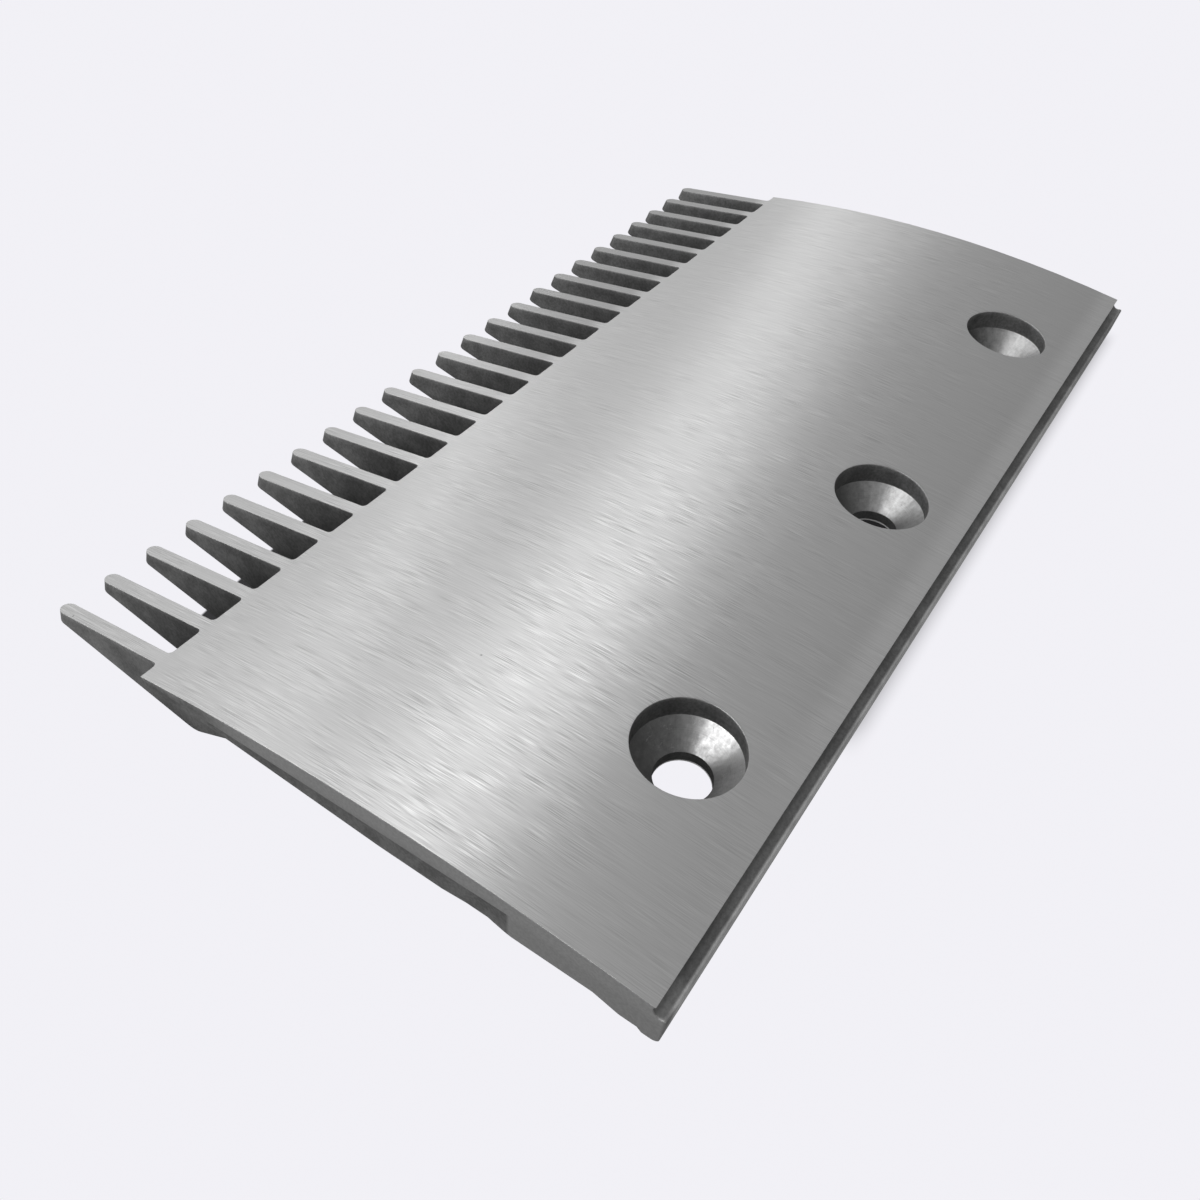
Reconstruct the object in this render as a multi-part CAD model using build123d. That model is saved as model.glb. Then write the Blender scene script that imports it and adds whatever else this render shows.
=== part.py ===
from build123d import *
from math import radians, sqrt, tan
import os

# Escalator comb plate: one aluminium die casting, machined on top, at the ends and at the screw holes.
# Frame: X runs along the landing, +Y points at the steps (towards the tooth tips) and +Z is up.
# The origin is on the axis of the middle screw hole, in the seat plane on which the plate is screwed down.
# All sizes are in millimetres.

# The comb
tooth_count = 24
tooth_pitch = 25.4 / 3
tooth_width = 2.4
tooth_length = 25.4
tooth_slope = 9.0
tooth_underside_slope = 12.0
tip_height = 2.3
tip_roundness = 1.6
tip_lean = 20.0
tip_top_radius = 0.3
tip_bottom_radius = 0.5
root_corner_radius = 0.8

# The ribs that carry the teeth on under the plate
rib_heel_setback = 4.4
rib_heel_radius = 4.5
rib_rear_slope = 27.2
rib_bite = 1.0

# The plate, seen from its end
root_from_screws = 72.8
tail_from_screws = 15.5
root_height = 5.25
tail_height = 8.35
arch_rise = 3.35
underside_height = 1.5
front_underside_height = 2.85
front_land_length = 16.0
ramp_length = 29.0

# The tail edge: a groove under the top edge, a lip below it and a foot along the bottom
lip_reach = 1.8
lip_drop = 1.75
lip_edge_radius = 0.35
groove_depth = 2.05
groove_undercut = 0.25
groove_width = 1.05
lip_face_draft = 5.0
foot_width = 2.4
foot_radius = 1.25
foot_heel_radius = 0.5
rail_height = 0.7
rail_reach = 9.5
rail_ramp = 2.5

# The end faces: the lower part of each is left as cast, a little behind the milled land. The steps are the distances
# from the screw row at which the recess deepens and runs out towards the tail.
land_below_chord = 0.6
end_recess = 0.4
end_recess_deep = 0.65
end_recess_steps = (17.0, 13.0, 9.5, 5.0)
end_edge_radius = 0.55

# Three screw holes for countersunk heads, sunk below the top
hole_count = 3
hole_spacing = 8 * tooth_pitch
bore_radius = 4.5
bore_length = 2.15
sink_radius = 8.4
sink_angle = 90.0
rim_radius = 0.4
boss_radius = 12.5

# Weight-saving pockets in the underside
skin = 3.7
end_wall = 4.2
bay_wall = 8.0
pocket_rear = -6.5
pocket_front = 49.0
pocket_corner_radius = 3.0

# What follows from them
plate_width = tooth_count * tooth_pitch
root_y = root_from_screws
tail_y = -tail_from_screws
tip_y = root_y + tooth_length
chord = sqrt((root_y - tail_y) ** 2 + (tail_height - root_height) ** 2)
chord_slope = (tail_height - root_height) / (root_y - tail_y)
arch_radius = (chord**2 / 4 + arch_rise**2) / (2 * arch_rise)
hole_places = [(i - (hole_count - 1) / 2) * hole_spacing for i in range(hole_count)]
tooth_places = [(i - (tooth_count - 1) / 2) * tooth_pitch for i in range(tooth_count)]
sink_depth = (sink_radius - bore_radius) / tan(radians(sink_angle / 2))
above = tail_height + 3 * arch_rise
below = -above


def chord_point(share, rise=0.0):
    """A point a share of the way from the root edge to the tail edge, and so far above the line between them."""
    lean = 1 / sqrt(1 + chord_slope**2)
    y = root_y + share * (tail_y - root_y) + rise * lean * chord_slope
    z = root_height + share * (tail_height - root_height) + rise * lean
    return y, z


def arch_height(y):
    """The height of the arched top at a distance y from the screw row."""
    centre_y, centre_z = chord_point(0.5, arch_rise - arch_radius)
    return centre_z + sqrt(arch_radius**2 - (y - centre_y) ** 2)


def side(points):
    """Points of the end view, given as (y, z), in the plane across the plate."""
    return [(0, y, z) for y, z in points]


def across(face, width):
    """An end-view face made into a solid of a width along X, with its middle at X = 0."""
    return extrude(face, amount=width / 2, dir=(1, 0, 0), both=True)


def corners(face, y, z):
    """The corner of an end-view face at (y, z)."""
    return face.vertices().sort_by_distance((0, y, z))[:1]


def plate_face():
    """The plate's section: arched top, grooved tail with its lip and foot, and a stepped underside."""
    root = (root_y, root_height)
    tail = (tail_y, tail_height)
    groove_end = (tail_y - groove_width, tail_height - groove_depth)
    lip = (tail_y - lip_reach, tail_height - lip_drop)
    face_lean = tan(radians(lip_face_draft)) * lip[1]
    foot_outer = (lip[0] + face_lean, 0.0)
    foot_inner = (foot_outer[0] + foot_width, 0.0)
    rail = [
        (foot_inner[0] + rail_height, rail_height),
        (-rail_reach, rail_height),
        (rail_ramp - rail_reach, underside_height),
    ]
    ramp_end = (root_y - front_land_length, front_underside_height)
    under = [
        (ramp_end[0] - ramp_length, underside_height),
        ramp_end,
        (root_y, front_underside_height),
    ]
    groove_middle = (tail_y + groove_undercut, tail_height - 0.65 * groove_depth)
    outline = [
        ThreePointArc(*side([root, chord_point(0.5, arch_rise), tail])),
        ThreePointArc(*side([tail, groove_middle, groove_end])),
        Polyline(*side([groove_end, lip, foot_outer, foot_inner, *rail, *under, root])),
    ]
    face = make_face(outline)
    face = fillet(corners(face, *lip), lip_edge_radius)
    face = fillet(corners(face, *foot_outer), foot_radius)
    return fillet(corners(face, *foot_inner), foot_heel_radius)


def tooth_face():
    """One tooth and the rib under the plate that it grows from, in the end view."""
    tip_top = (tip_y, root_height - tooth_length * tan(radians(tooth_slope)))
    tip_bottom = (tip_y, tip_top[1] - tip_height)
    heel_y = root_y - rib_heel_setback
    heel = (heel_y, tip_bottom[1] - (tip_y - heel_y) * tan(radians(tooth_underside_slope)))
    bite_z = front_underside_height + rib_bite
    rib_end = (heel_y - (bite_z - heel[1]) / tan(radians(rib_rear_slope)), bite_z)
    outline = [tip_top, tip_bottom, heel, rib_end, (root_y - rib_bite, bite_z), (root_y, root_height)]
    face = make_face(Polyline(*side(outline), close=True))
    face = fillet(corners(face, *heel), rib_heel_radius)
    face = fillet(corners(face, *tip_bottom), tip_bottom_radius)
    return fillet(corners(face, *tip_top), tip_top_radius)


def tooth():
    """One tooth, with a nose that is half an ellipse in plan and leans back upwards."""
    shank = Rectangle(tooth_width, tip_y - tip_roundness, align=(Align.CENTER, Align.MIN))
    plan = shank + Pos(0, tip_y - tip_roundness) * Ellipse(tooth_width / 2, tip_roundness)
    lean = (0, -tan(radians(tip_lean)), 1)
    foot_z = root_height - tooth_length * tan(radians(tooth_slope)) - tip_height
    column = extrude(Pos(0, 0, foot_z) * plan, amount=above, dir=lean, both=True)
    return across(tooth_face(), tooth_width) & column


def root_corners():
    """The small radius in each corner where a tooth leaves the plate's front edge."""
    length = root_corner_radius
    front = root_height - length * tan(radians(tooth_slope))
    outline = [
        (root_y - rib_bite, front_underside_height),
        (root_y + length, front_underside_height),
        (root_y + length, front),
        (root_y, root_height),
        (root_y - rib_bite, root_height),
    ]
    band = across(make_face(Polyline(*side(outline), close=True)), plate_width)
    gap = tooth_pitch - tooth_width
    slot = Pos(0, root_y + tooth_length / 2, below) * RectangleRounded(gap, tooth_length, root_corner_radius)
    cutter = extrude(slot, amount=above - below)
    ends = [(i - tooth_count / 2) * tooth_pitch for i in range(tooth_count + 1)]
    return band - [Pos(x, 0, 0) * cutter for x in ends]


def comb():
    """The plate with its teeth, and the cast radius along the bottom of each end."""
    plate = across(plate_face(), plate_width)
    low = plate.edges().filter_by_position(Axis.Z, 0, front_underside_height)
    low = low.filter_by_position(Axis.Y, -rail_reach, root_y - front_land_length)
    ends = low.group_by(Axis.X)
    plate = fillet(ends[0] + ends[-1], end_edge_radius)
    teeth = [Pos(x, 0, 0) * tooth() for x in tooth_places]
    return plate + root_corners() + teeth


def end_relief(hand):
    """The recess below the milled land of one end, run out towards the tail. hand is -1 or 1."""
    outer = hand * plate_width / 2
    inner = outer - hand * end_recess
    deep = outer - hand * end_recess_deep
    start, deep_start, deep_end, end = end_recess_steps
    front = root_y + end_recess
    run_out = [(inner, start), (deep, deep_start), (deep, deep_end), (outer, end)]
    plan = Polyline((outer, front), (inner, front), *run_out, close=True)
    column = extrude(Pos(0, 0, below) * make_face(plan), amount=above - below)
    top = [chord_point(share, -land_below_chord) for share in (-0.1, 1.1)]
    bottom = [(y, below) for y, z in reversed(top)]
    land = across(make_face(Polyline(*side(top + bottom), close=True)), 2 * plate_width)
    return column & land


def pockets():
    """Four pockets between the end walls, the walls at the screw holes, the front land and the tail rail."""
    length = pocket_front - pocket_rear
    middle = (pocket_front + pocket_rear) / 2
    arch = [(y, arch_height(y) - skin) for y in (pocket_front, middle, pocket_rear)]
    outline = [
        ThreePointArc(*side(arch)),
        Polyline(*side([arch[-1], (pocket_rear, below), (pocket_front, below), arch[0]])),
    ]
    roof = across(make_face(outline), plate_width)
    inner_end = plate_width / 2 - end_wall
    walls = [(x - bay_wall / 2, x + bay_wall / 2) for x in hole_places]
    starts = [-inner_end] + [high for low, high in walls]
    stops = [low for low, high in walls] + [inner_end]
    bays = []
    for start, stop in zip(starts, stops):
        plan = RectangleRounded(stop - start, length, pocket_corner_radius)
        bays.append(extrude(Pos((start + stop) / 2, middle, below) * plan, amount=above - below))
    cut = Part() + bays
    cut = cut & roof
    bosses = [Pos(x, 0, 0) * Cylinder(boss_radius, above - below) for x in hole_places]
    return cut - bosses


def screw_pads():
    """The round pads under the holes, down to the seat plane."""
    top = arch_height(0) - skin / 2
    pad = Cylinder(boss_radius, top, align=(Align.CENTER, Align.CENTER, Align.MIN))
    return [Pos(x, 0, 0) * pad for x in hole_places]


def screw_hole():
    """The bore, the cone for the screw head and the wide bore above the cone."""
    cone_bottom = bore_length
    cone_top = bore_length + sink_depth
    from_below = (Align.CENTER, Align.CENTER, Align.MIN)
    bore = Cylinder(bore_radius, above, align=from_below)
    cone = Pos(0, 0, cone_bottom) * Cone(bore_radius, sink_radius, sink_depth, align=from_below)
    mouth = Pos(0, 0, cone_top) * Cylinder(sink_radius, above, align=from_below)
    return bore + cone + mouth


def rims(solid):
    """The edges where the screw holes open into the arched top."""
    beside_holes = solid.edges().filter_by_position(Axis.Y, -rim_radius, rim_radius)
    return beside_holes.filter_by_position(Axis.Z, arch_height(0) - rim_radius, above)


plate = comb()
plate -= [end_relief(-1), end_relief(1)]
plate -= pockets()
plate += screw_pads()
plate -= [Pos(x, 0, 0) * screw_hole() for x in hole_places]
plate = fillet(rims(plate), rim_radius)
os.makedirs("parts", exist_ok=True)
export_step(plate, "parts/comb_plate.step")
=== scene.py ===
from math import atan2, radians

import bpy
from mathutils import Matrix, Vector


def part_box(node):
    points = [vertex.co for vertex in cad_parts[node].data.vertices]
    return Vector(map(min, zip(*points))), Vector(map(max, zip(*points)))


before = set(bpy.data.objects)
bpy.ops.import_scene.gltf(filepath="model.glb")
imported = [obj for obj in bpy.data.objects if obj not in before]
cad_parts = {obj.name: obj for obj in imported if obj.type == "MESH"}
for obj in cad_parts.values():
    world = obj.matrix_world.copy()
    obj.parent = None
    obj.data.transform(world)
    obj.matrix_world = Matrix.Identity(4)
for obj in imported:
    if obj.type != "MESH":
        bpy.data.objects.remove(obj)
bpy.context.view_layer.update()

# The comb plate: one aluminium die casting. Its arched top and the tops of its teeth are milled, then brushed
# along the direction of travel. The screw holes are turned, and the rest keeps the casting's darker skin.
# The shape is the CAD solid itself, so only its finish is made here. Lengths are in metres.
hole_spacing = 0.067733
bore_radius = 0.0045
sink_radius = 0.0084
tail_y = -0.0155
root_y = 0.0728
root_z = 0.00525
tooth_fall = 0.158
crown_y = 0.0185
crown_z = 0.0103
arch_radius = 0.293
edge_blend = 0.0001
noise_middle = 0.5
most_noise = (0.35, 0.65)
wide_noise = (0.3, 0.7)


def finish_node(tree, kind, inputs=None, **settings):
    """One shader node with its settings, and its inputs given as values or as the sockets that feed them."""
    node = tree.nodes.new("ShaderNode" + kind)
    for name, value in settings.items():
        setattr(node, name, value)
    for name, value in (inputs or {}).items():
        if isinstance(value, bpy.types.NodeSocket):
            tree.links.new(value, node.inputs[name])
        else:
            node.inputs[name].default_value = value
    return node


def value_of(tree, operation, *values):
    """The result of a Math node on numbers or sockets."""
    return finish_node(tree, "Math", dict(enumerate(values)), operation=operation).outputs[0]


def product(tree, *values):
    """All the numbers or sockets multiplied together."""
    result = values[0]
    for value in values[1:]:
        result = value_of(tree, "MULTIPLY", result, value)
    return result


def scaled_sum(tree, value, scale, base):
    """The value times a scale, added to a base."""
    return value_of(tree, "MULTIPLY_ADD", value, scale, base)


def ramp(tree, value, start, end, from_value=0.0, to_value=1.0):
    """A smooth step: from_value on start's side and to_value on end's. The start may be above the end."""
    inputs = {"Value": value, "From Min": start, "From Max": end, "To Min": from_value, "To Max": to_value}
    return finish_node(tree, "MapRange", inputs, interpolation_type="SMOOTHSTEP").outputs[0]


def grain(tree, places, size, detail=2.0, roughness=0.5, turn=0.0):
    """Noise whose grains are about so many metres long on each axis, turned a little about Z."""
    skewed = finish_node(tree, "Mapping", {"Vector": places, "Rotation": (0, 0, turn)}).outputs[0]
    scale = [1 / length for length in size]
    stretched = finish_node(tree, "Mapping", {"Vector": skewed, "Scale": scale}).outputs[0]
    inputs = {"Vector": stretched, "Scale": 1.0, "Detail": detail, "Roughness": roughness}
    return finish_node(tree, "TexNoise", inputs).outputs[0]


def blend_values(tree, share, first, second):
    """A number that goes from first to second as share goes from 0 to 1."""
    return finish_node(tree, "Mix", {0: share, 2: first, 3: second}, data_type="FLOAT").outputs[0]


def blend_vectors(tree, share, first, second):
    """A direction that goes from first to second as share goes from 0 to 1."""
    return finish_node(tree, "Mix", {0: share, 4: first, 5: second}, data_type="VECTOR").outputs[1]


def vector_of(tree, operation, *values):
    """The vector that a Vector Math node gives."""
    return finish_node(tree, "VectorMath", dict(enumerate(values)), operation=operation).outputs["Vector"]


def length_of(tree, operation, *values):
    """The length that a Vector Math node gives."""
    return finish_node(tree, "VectorMath", dict(enumerate(values)), operation=operation).outputs["Value"]


def direction(tree, **parts):
    """A vector from the numbers or sockets of its X, Y and Z."""
    return finish_node(tree, "CombineXYZ", parts).outputs[0]


def grey(tree, tone):
    """A colour with the same red, green and blue."""
    return finish_node(tree, "CombineColor", {0: tone, 1: tone, 2: tone}).outputs[0]


def brush_lines(tree, places, x, y):
    """Hairlines in patches, longer scratches across them and faint bundles, none of them quite parallel."""
    hairline_size = (0.00008, 0.0055, 0.0055)
    scratch_size = (0.00011, 0.016, 0.016)
    scratch_share = 0.20
    scratch_turn = 0.02
    bundle_size = (0.0014, 0.030, 0.030)
    bundle_share = 0.08
    bundle_turn = -0.015
    patch_size = (0.004, 0.010, 0.010)
    patch_strength = (0.5, 1.5)

    hairlines = grain(tree, places, hairline_size, detail=1.0, roughness=0.6)
    scratches = grain(tree, places, scratch_size, detail=1.0, roughness=0.6, turn=scratch_turn)
    bundles = grain(tree, places, bundle_size, turn=bundle_turn)
    patches = ramp(tree, grain(tree, places, patch_size), *most_noise, *patch_strength)
    lines = product(tree, value_of(tree, "SUBTRACT", hairlines, noise_middle), patches)
    lines = scaled_sum(tree, value_of(tree, "SUBTRACT", scratches, noise_middle), scratch_share, lines)
    lines = scaled_sum(tree, value_of(tree, "SUBTRACT", bundles, noise_middle), bundle_share, lines)

    # They are strongest at the near end, and fade towards the teeth and over the tail
    near_end = ramp(tree, x, -0.050, 0.010, 1.35, 1.0)
    teeth_side = ramp(tree, y, 0.032, 0.046, 1.0, 0.7)
    tail_side = ramp(tree, y, -0.004, 0.014, 0.4, 1.0)
    return product(tree, lines, near_end, teeth_side, tail_side)


def brushed_metal(tree, places, x, y, level):
    """Brushed metal, whose reflections spread across its lines."""
    mean_tone = 0.67
    line_tone = 0.56
    mean_roughness = 0.41
    line_roughness = -0.15
    line_dip = 0.025
    far_teeth_shade_tone = 0.74
    tail_highlight_width = (0.0055, 0.0015)
    tail_highlight_tone = 1.16
    nicks = [(-0.0719, 0.0331, 0.0099), (-0.0981, 0.0936, 0.0020)]
    nick_radius = (0.00005, 0.00025)
    nick_tone = 0.5

    lines = brush_lines(tree, places, x, y)
    tone = scaled_sum(tree, lines, line_tone, mean_tone)
    roughness = scaled_sum(tree, lines, line_roughness, mean_roughness)

    # Painted shade on the far teeth, a painted highlight on the tail edge, and a nick each on the top and
    # first tooth
    far_teeth = product(tree, ramp(tree, x, -0.06, 0.04), ramp(tree, y, root_y, root_y + 0.004))
    tone = product(tree, tone, blend_values(tree, far_teeth, 1.0, far_teeth_shade_tone))
    tail_highlight = ramp(tree, x, -0.080, -0.030, 1.0, tail_highlight_tone)
    by_tail = ramp(tree, y, *[tail_y + width for width in tail_highlight_width])
    tone = product(tree, tone, blend_values(tree, by_tail, 1.0, tail_highlight))
    for nick in nicks:
        away = length_of(tree, "DISTANCE", places, nick)
        tone = product(tree, tone, ramp(tree, away, *nick_radius, nick_tone, 1.0))

    # Each line dips and rises a little along its length. A tangent counts only where it is linked
    dip = direction(tree, Y=product(tree, lines, line_dip))
    inputs = {
        "Base Color": grey(tree, tone),
        "Metallic": 1.0,
        "Roughness": roughness,
        "Anisotropic": 0.85,
        "Normal": vector_of(tree, "NORMALIZE", vector_of(tree, "ADD", level, dip)),
        "Tangent": direction(tree, X=1.0),
    }
    return finish_node(tree, "BsdfPrincipled", inputs).outputs[0]


def turned_metal(tree, places, x, from_axis, distance):
    """A turned cone, with faint rings from the cutter, streaks down its slope and a blotchy shine."""
    base_tone = 0.16
    ring_size = (0.00012, 1.0, 1.0)
    ring_tone = 0.14
    blotch_size = (0.0009, 0.0009, 0.0009)
    blotch_tone = 0.44
    blotch_roughness = (0.44, 0.32)
    streak_size = (0.09, 0.09, 1.0)
    streak_tone = 0.20
    far_hole_x = (0.03, 0.04)
    speck_size = (0.0002, 0.0002, 0.0002)
    speck_patch_size = (0.002, 0.002, 0.002)
    speck_lean = 0.5

    around = vector_of(tree, "NORMALIZE", from_axis)
    rings = grain(tree, direction(tree, X=distance), ring_size, detail=1.0)
    blotches = grain(tree, places, blotch_size, detail=4.0, roughness=0.65)
    streaks = grain(tree, around, streak_size, detail=3.0, roughness=0.6)
    tone = scaled_sum(tree, rings, ring_tone, base_tone)
    tone = scaled_sum(tree, blotches, blotch_tone, tone)
    tone = scaled_sum(tree, streaks, streak_tone, tone)

    # Painted shade darkens the side towards the teeth, more so in the far hole, where painted light brightens
    # the other side
    toothward = finish_node(tree, "SeparateXYZ", {0: around}).outputs["Y"]
    teeth_side = ramp(tree, toothward, 0.2, 0.9, 1.0, 0.5)
    far_hole_light_and_shade = ramp(tree, toothward, -0.3, 0.5, 1.3, 0.75)
    far_hole_light_and_shade = blend_values(tree, ramp(tree, x, *far_hole_x), 1.0, far_hole_light_and_shade)
    tone = product(tree, tone, teeth_side, far_hole_light_and_shade)

    # Here and there the cutter chattered and left specks that face the light
    chatter = ramp(tree, grain(tree, places, speck_size, detail=1.0), 0.60, 0.70)
    chatter = product(tree, chatter, ramp(tree, grain(tree, places, speck_patch_size), 0.50, 0.60))
    specks = direction(tree, Y=product(tree, chatter, speck_lean), Z=chatter)
    cone_facing = vector_of(tree, "SUBTRACT", (0, 0, 1), around)
    round_hole = vector_of(tree, "CROSS_PRODUCT", from_axis, (0, 0, 1))
    inputs = {
        "Base Color": grey(tree, tone),
        "Metallic": 1.0,
        "Roughness": ramp(tree, blotches, *wide_noise, *blotch_roughness),
        "Anisotropic": 0.5,
        "Normal": vector_of(tree, "NORMALIZE", vector_of(tree, "ADD", cone_facing, specks)),
        "Tangent": vector_of(tree, "CROSS_PRODUCT", round_hole, cone_facing),
    }
    return finish_node(tree, "BsdfPrincipled", inputs).outputs[0]


def cast_metal(tree, places, x, y, depth):
    """The casting's skin, fine-grained and stained, with painted light and shade in places, the land milled
    on each end and the lip's painted highlight.
    """
    skin_size = (0.0005, 0.0005, 0.0005)
    skin_tone = (0.20, 0.28)
    stain_size = (0.004, 0.004, 0.004)
    stain_tone = (0.86, 1.14)
    groove_tone = 0.08
    land_tone = (0.52, 0.62)
    lip_tone = (0.68, 0.86)
    cast_roughness = 0.62
    land_roughness = 0.5
    soft_radius = 0.0005
    skin_relief = 0.00005

    skin = grain(tree, places, skin_size, detail=3.0, roughness=0.7)
    stains = grain(tree, places, stain_size, detail=3.0)
    either_end = value_of(tree, "ABSOLUTE", x)

    # Painted light brightens it below the top edges, towards the tooth tips and on the outermost teeth; real
    # stains vary it
    near_tips = product(tree, ramp(tree, y, 0.078, 0.095), ramp(tree, x, -0.04, 0.03, 0.25, 0.05))
    below_edge = ramp(tree, depth, 0.0015, 0.0002, 0.95, 1.25)
    outermost = ramp(tree, either_end, 0.0955, 0.0965, 1.0, 1.2)
    painted_light_and_stains = product(tree, below_edge, value_of(tree, "ADD", near_tips, 1.0), outermost)
    painted_light_and_stains = product(tree, painted_light_and_stains, ramp(tree, stains, *most_noise, *stain_tone))
    tone = product(tree, ramp(tree, skin, *wide_noise, *skin_tone), painted_light_and_stains)

    # Painted light makes the groove under the tail edge a little paler
    groove = ramp(tree, y, tail_y + 0.0004, tail_y + 0.0002)
    groove = product(tree, groove, ramp(tree, depth, 0.0030, 0.0022))
    tone = scaled_sum(tree, groove, groove_tone, tone)

    # The land at each end is milled square
    land = product(tree, ramp(tree, either_end, 0.1014, 0.1015), ramp(tree, y, 0.064, 0.048))
    on_land = ramp(tree, skin, *wide_noise, *land_tone)
    # Painted shade darkens the land towards its bottom
    on_land = product(tree, on_land, ramp(tree, depth, 0.0022, 0.0042, 1.0, 0.9))
    tone = blend_values(tree, land, tone, on_land)

    # A painted highlight brightens the lip, less so at its two ends
    lip = ramp(tree, y, tail_y - 0.0010, tail_y - 0.0016)
    on_lip = ramp(tree, stains, *most_noise, *lip_tone)
    far_end = ramp(tree, x, 0.050, 0.085, 1.0, 0.6)
    near_end = ramp(tree, x, -0.1012, -0.0985, 0.45, 1.0)
    on_lip = product(tree, on_lip, far_end, near_end)
    tone = blend_values(tree, lip, tone, on_lip)

    edges = finish_node(tree, "Bevel", {"Radius": soft_radius}, samples=4).outputs[0]
    relief = {"Strength": 0.3, "Distance": skin_relief, "Height": skin, "Normal": edges}
    inputs = {
        "Base Color": grey(tree, tone),
        "Metallic": 1.0,
        "Roughness": blend_values(tree, land, cast_roughness, land_roughness),
        "Normal": finish_node(tree, "Bump", relief).outputs[0],
    }
    return finish_node(tree, "BsdfPrincipled", inputs).outputs[0]


def plate_finish():
    """Brushed on top, turned in the holes and cast elsewhere, told apart by slope and by place."""
    milled_slope = (0.93, 0.97)
    rim_slope = (0.42, 0.68)
    cone_slope = (0.3, 0.6)
    sharp_radius = 0.00007

    material = bpy.data.materials.new("plate_aluminium")
    material.use_nodes = True
    tree = material.node_tree
    tree.nodes.clear()
    places = finish_node(tree, "TexCoord").outputs["Object"]
    normal = finish_node(tree, "NewGeometry").outputs["Normal"]
    x, y, z = finish_node(tree, "SeparateXYZ", {0: places}).outputs
    upward = finish_node(tree, "SeparateXYZ", {0: normal}).outputs["Z"]

    # Distance from the axis of the nearest screw hole
    along = value_of(tree, "MODULO", value_of(tree, "ADD", x, 2.5 * hole_spacing), hole_spacing)
    along = value_of(tree, "SUBTRACT", along, hole_spacing / 2)
    from_axis = direction(tree, X=along, Y=y)
    distance = length_of(tree, "LENGTH", from_axis)

    # Depth below the arched top, which is nearly a parabola, or below a tooth's top
    from_crown = value_of(tree, "SUBTRACT", y, crown_y)
    arch_top = scaled_sum(tree, product(tree, from_crown, from_crown), -0.5 / arch_radius, crown_z)
    tooth_top = scaled_sum(tree, y, -tooth_fall, root_z + tooth_fall * root_y)
    top = blend_values(tree, ramp(tree, y, root_y, root_y + edge_blend), arch_top, tooth_top)
    depth = value_of(tree, "SUBTRACT", top, z)

    # Milled bright: all that is nearly level, the rounded rim of each hole and the burr at its bore's foot
    before_tail = ramp(tree, y, tail_y - 0.00008, tail_y - 0.00004)
    level_top = product(tree, ramp(tree, upward, *milled_slope), before_tail)
    rim = ramp(tree, distance, sink_radius + 0.0006, sink_radius + 0.0005)
    rim = product(tree, rim, ramp(tree, distance, sink_radius - edge_blend, sink_radius + edge_blend / 2))
    rim = product(tree, rim, ramp(tree, upward, *rim_slope))
    in_bore = ramp(tree, distance, bore_radius + edge_blend, bore_radius)
    burr = product(tree, ramp(tree, z, 0.00032, 0.00024), in_bore, ramp(tree, z, -edge_blend, 0.0))
    milled = value_of(tree, "MAXIMUM", value_of(tree, "MAXIMUM", level_top, rim), burr)
    in_hole = ramp(tree, distance, sink_radius + edge_blend, sink_radius)
    turned = product(tree, in_hole, ramp(tree, upward, *cone_slope))

    # The level top bends over its sharp edges, but for the rims, the burrs and the tail edge
    edges = finish_node(tree, "Bevel", {"Radius": sharp_radius}, samples=4).outputs[0]
    arch_facing = direction(tree, Y=product(tree, from_crown, 1 / arch_radius), Z=1.0)
    kept_level = value_of(tree, "MAXIMUM", rim, ramp(tree, y, tail_y + 0.0004, tail_y + 0.0002))
    kept_level = value_of(tree, "MAXIMUM", kept_level, burr)
    level = blend_vectors(tree, kept_level, edges, arch_facing)

    cast = cast_metal(tree, places, x, y, depth)
    brushed = brushed_metal(tree, places, x, y, level)
    cone = turned_metal(tree, places, x, from_axis, distance)
    metal = finish_node(tree, "MixShader", {0: milled, 1: cast, 2: brushed}).outputs[0]
    metal = finish_node(tree, "MixShader", {0: turned, 1: metal, 2: cone}).outputs[0]
    finish_node(tree, "OutputMaterial", {"Surface": metal})
    return material


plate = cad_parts["comb_plate"]
aluminium = plate_finish()
for slot in plate.material_slots:
    slot.material = aluminium

# The table: a plain pale board. The plate rests on it with its tail foot and the heels of its ribs, so the
# board leans a little against the plate's own level. The plate's shade is painted on it, not cast, and
# reaches past the roots of the teeth; it is seen between them and down the screw holes.
foot_y = -0.0159
heel_y = 0.0686
low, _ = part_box("comb_plate")
table_lean = atan2(-low.z, heel_y - foot_y)
table_size = 4.0
table_gap = 0.0001
table_tone = (0.885, 0.877, 0.921, 1.0)
white = (1, 1, 1, 1)


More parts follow.
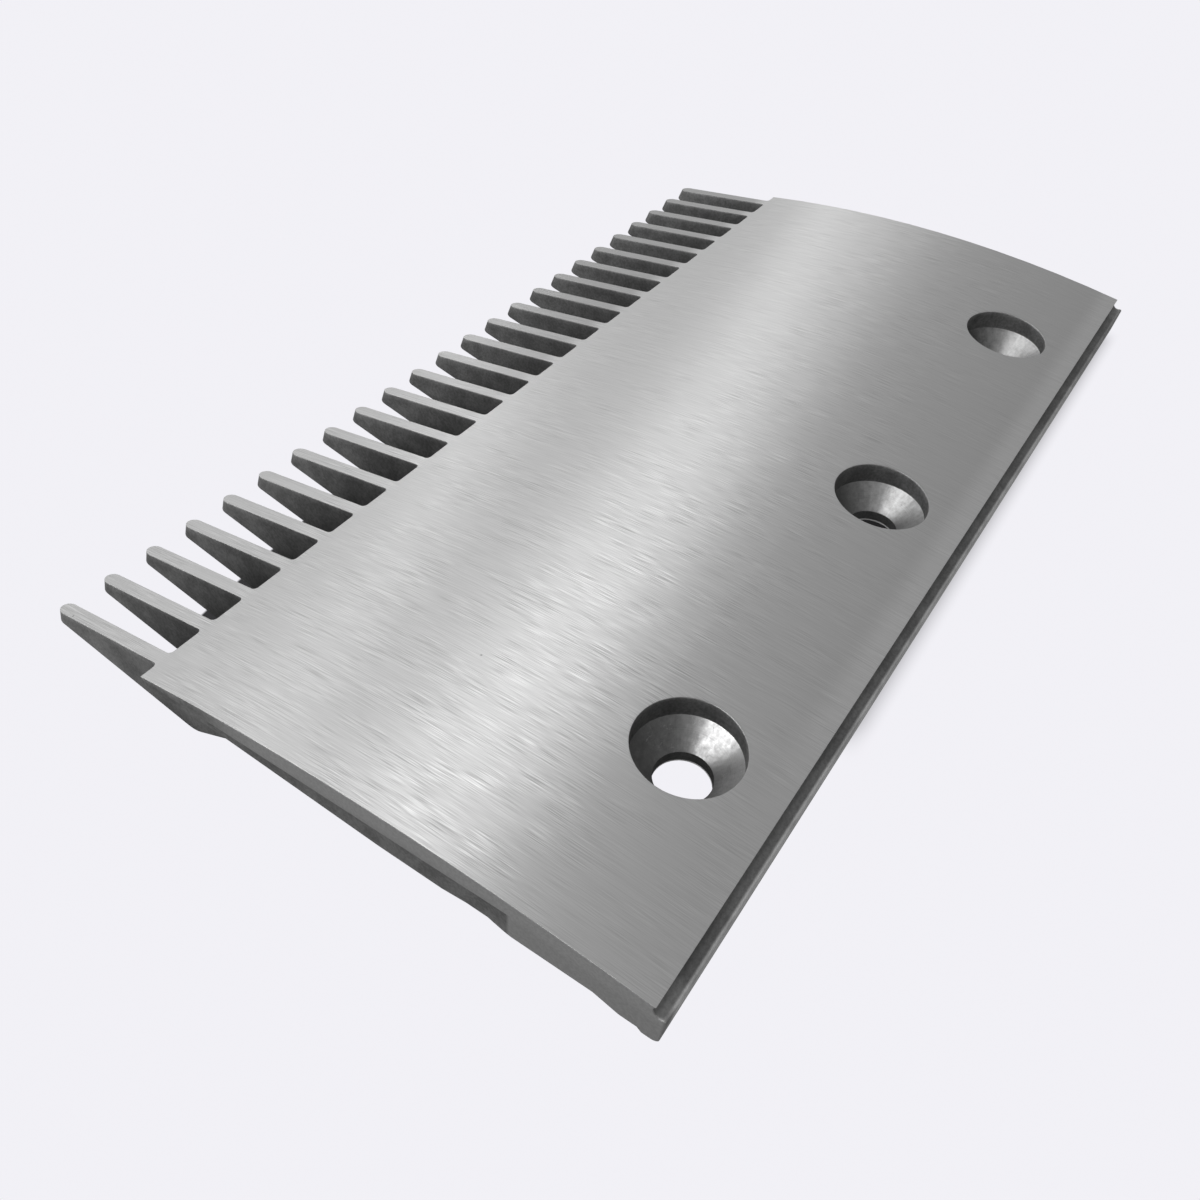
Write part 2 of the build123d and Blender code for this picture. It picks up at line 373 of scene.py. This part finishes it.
def table_board():
    """A board that looks evenly pale but for the plate's painted shade, and throws only a little light back,
    less from under the plate.
    """
    shade_half_width = 0.104
    shade_reach = 0.1154
    shade_slant = 0.14
    shade_turn = -0.04
    open_glow = 0.27
    shaded_glow = 0.07

    material = bpy.data.materials.new("table_board")
    material.use_nodes = True
    tree = material.node_tree
    tree.nodes.clear()
    places = finish_node(tree, "TexCoord").outputs["Object"]
    x, y, _ = finish_node(tree, "SeparateXYZ", {0: places}).outputs

    # The shade has a firm edge at the near end and a soft one further along
    reach = scaled_sum(tree, value_of(tree, "MINIMUM", x, shade_turn), -shade_slant, y)
    full_shade = ramp(tree, x, -0.05, 0.02, shade_reach - 0.0006, shade_reach - 0.014)
    shade = product(tree, ramp(tree, y, -0.004, 0.004), ramp(tree, reach, shade_reach, full_shade))
    sides = ramp(tree, value_of(tree, "ABSOLUTE", x), shade_half_width, shade_half_width - 0.008)
    under_plate = product(tree, shade, sides)

    # The first gap between the teeth and the first hole show the board without it
    past_first_gap = ramp(tree, x, -0.0840, -0.0835)
    past_first_hole = ramp(tree, x, -0.050, -0.040)
    under_comb = ramp(tree, y, 0.080, 0.090)
    past_hole_or_comb = value_of(tree, "MAXIMUM", past_first_hole, under_comb)
    seen_shade = product(tree, under_plate, past_hole_or_comb, past_first_gap)

    deep_shade = ramp(tree, y, 0.02, 0.06, 0.018, 0.045)
    seen = {"Color": table_tone, "Strength": blend_values(tree, seen_shade, 1.0, deep_shade)}
    thrown = {"Color": white, "Strength": blend_values(tree, under_plate, open_glow, shaded_glow)}
    seen = finish_node(tree, "Emission", seen).outputs[0]
    thrown = finish_node(tree, "Emission", thrown).outputs[0]
    camera_ray = finish_node(tree, "LightPath").outputs["Is Camera Ray"]
    mixed = finish_node(tree, "MixShader", {0: camera_ray, 1: thrown, 2: seen})
    finish_node(tree, "OutputMaterial", {"Surface": mixed.outputs[0]})
    return material


bpy.ops.mesh.primitive_plane_add(size=table_size)
table = bpy.context.object
table.name = "table"
table.matrix_world = Matrix.Translation((0, foot_y, -table_gap)) @ Matrix.Rotation(-table_lean, 4, "X")
table.data.materials.append(table_board())

# The light: a wide soft box behind the plate's far side lies as a bright band across the arched top, and two
# narrow boxes lower down light the top nearer the teeth. A tall window to the teeth's left lights the cones
# of the holes, and there is a dim room all round.
lamp_distance = 1.2
lamps = [
    {"name": "soft_box", "aim": (0.38, 0.42, 0.81), "size": (0.75, 0.30), "power": 1.0},
    {"name": "low_box", "aim": (0.54, 0.72, 0.41), "size": (0.75, 0.05), "power": 0.24},
    {"name": "far_box", "aim": (0.85, 0.42, 0.33), "size": (0.40, 0.06), "power": 0.09},
    {"name": "window", "aim": (-0.70, 0.46, 0.52), "size": (0.5, 1.2), "power": 5.2},
]
for lamp in lamps:
    light = bpy.data.lights.new(lamp["name"], "AREA")
    light.shape = "RECTANGLE"
    light.size, light.size_y = lamp["size"]
    light.energy = lamp["power"]
    stand = bpy.data.objects.new(lamp["name"], light)
    bpy.context.scene.collection.objects.link(stand)
    towards = Vector(lamp["aim"]).normalized()
    long_side = Vector((towards.z, 0, -towards.x)).normalized()
    turn = Matrix((long_side, towards.cross(long_side), towards)).transposed()
    stand.matrix_world = Matrix.Translation(towards * lamp_distance) @ turn.to_4x4()


def dim_room():
    """Pale behind the table, otherwise a dim glow, strongest ahead of the teeth and low behind the tail."""
    darkest = 0.11
    glow_level = (0.41, 0.71)

    room = bpy.data.worlds.new("room")
    room.use_nodes = True
    tree = room.node_tree
    tree.nodes.clear()
    towards = finish_node(tree, "TexCoord").outputs["Generated"]
    aside, ahead, upward = finish_node(tree, "SeparateXYZ", {0: towards}).outputs
    ahead_or_above = value_of(tree, "MAXIMUM", ramp(tree, ahead, -0.7, -0.1), ramp(tree, upward, 0.45, 0.75))
    over_table = ramp(tree, upward, -0.1, 0.3)
    dimmer_far_end = ramp(tree, aside, 0.3, 0.95, 1.0, 0.5)
    glow = product(tree, ahead_or_above, over_table, dimmer_far_end)
    level = blend_values(tree, glow, darkest, ramp(tree, ahead, 0.25, 0.6, *glow_level))
    dim = finish_node(tree, "Background", {"Color": white, "Strength": level}).outputs[0]
    pale = finish_node(tree, "Background", {"Color": table_tone, "Strength": 1.0}).outputs[0]
    camera_ray = finish_node(tree, "LightPath").outputs["Is Camera Ray"]
    mixed = finish_node(tree, "MixShader", {0: camera_ray, 1: dim, 2: pale})
    finish_node(tree, "OutputWorld", {"Surface": mixed.outputs[0]})
    return room


bpy.context.scene.world = dim_room()
bpy.context.scene.view_settings.view_transform = "Standard"

# The camera: close above the near tail corner, looking along the plate towards its far teeth.
camera_place = Vector((-0.15410, -0.03357, 0.12987))
camera_aim = Vector((-0.05028, 0.02637, 0.00800))
camera_roll = radians(5.07)
camera_data = bpy.data.cameras.new("camera")
camera_data.lens = 32.46
camera_data.sensor_width = 36.0
camera_data.clip_start = 0.005
camera = bpy.data.objects.new("camera", camera_data)
bpy.context.scene.collection.objects.link(camera)
camera.rotation_mode = "QUATERNION"
facing = (camera_aim - camera_place).to_track_quat("-Z", "Y").to_matrix().to_4x4()
camera.matrix_world = Matrix.Translation(camera_place) @ facing @ Matrix.Rotation(camera_roll, 4, "Z")
bpy.context.scene.camera = camera

bpy.context.view_layer.update()
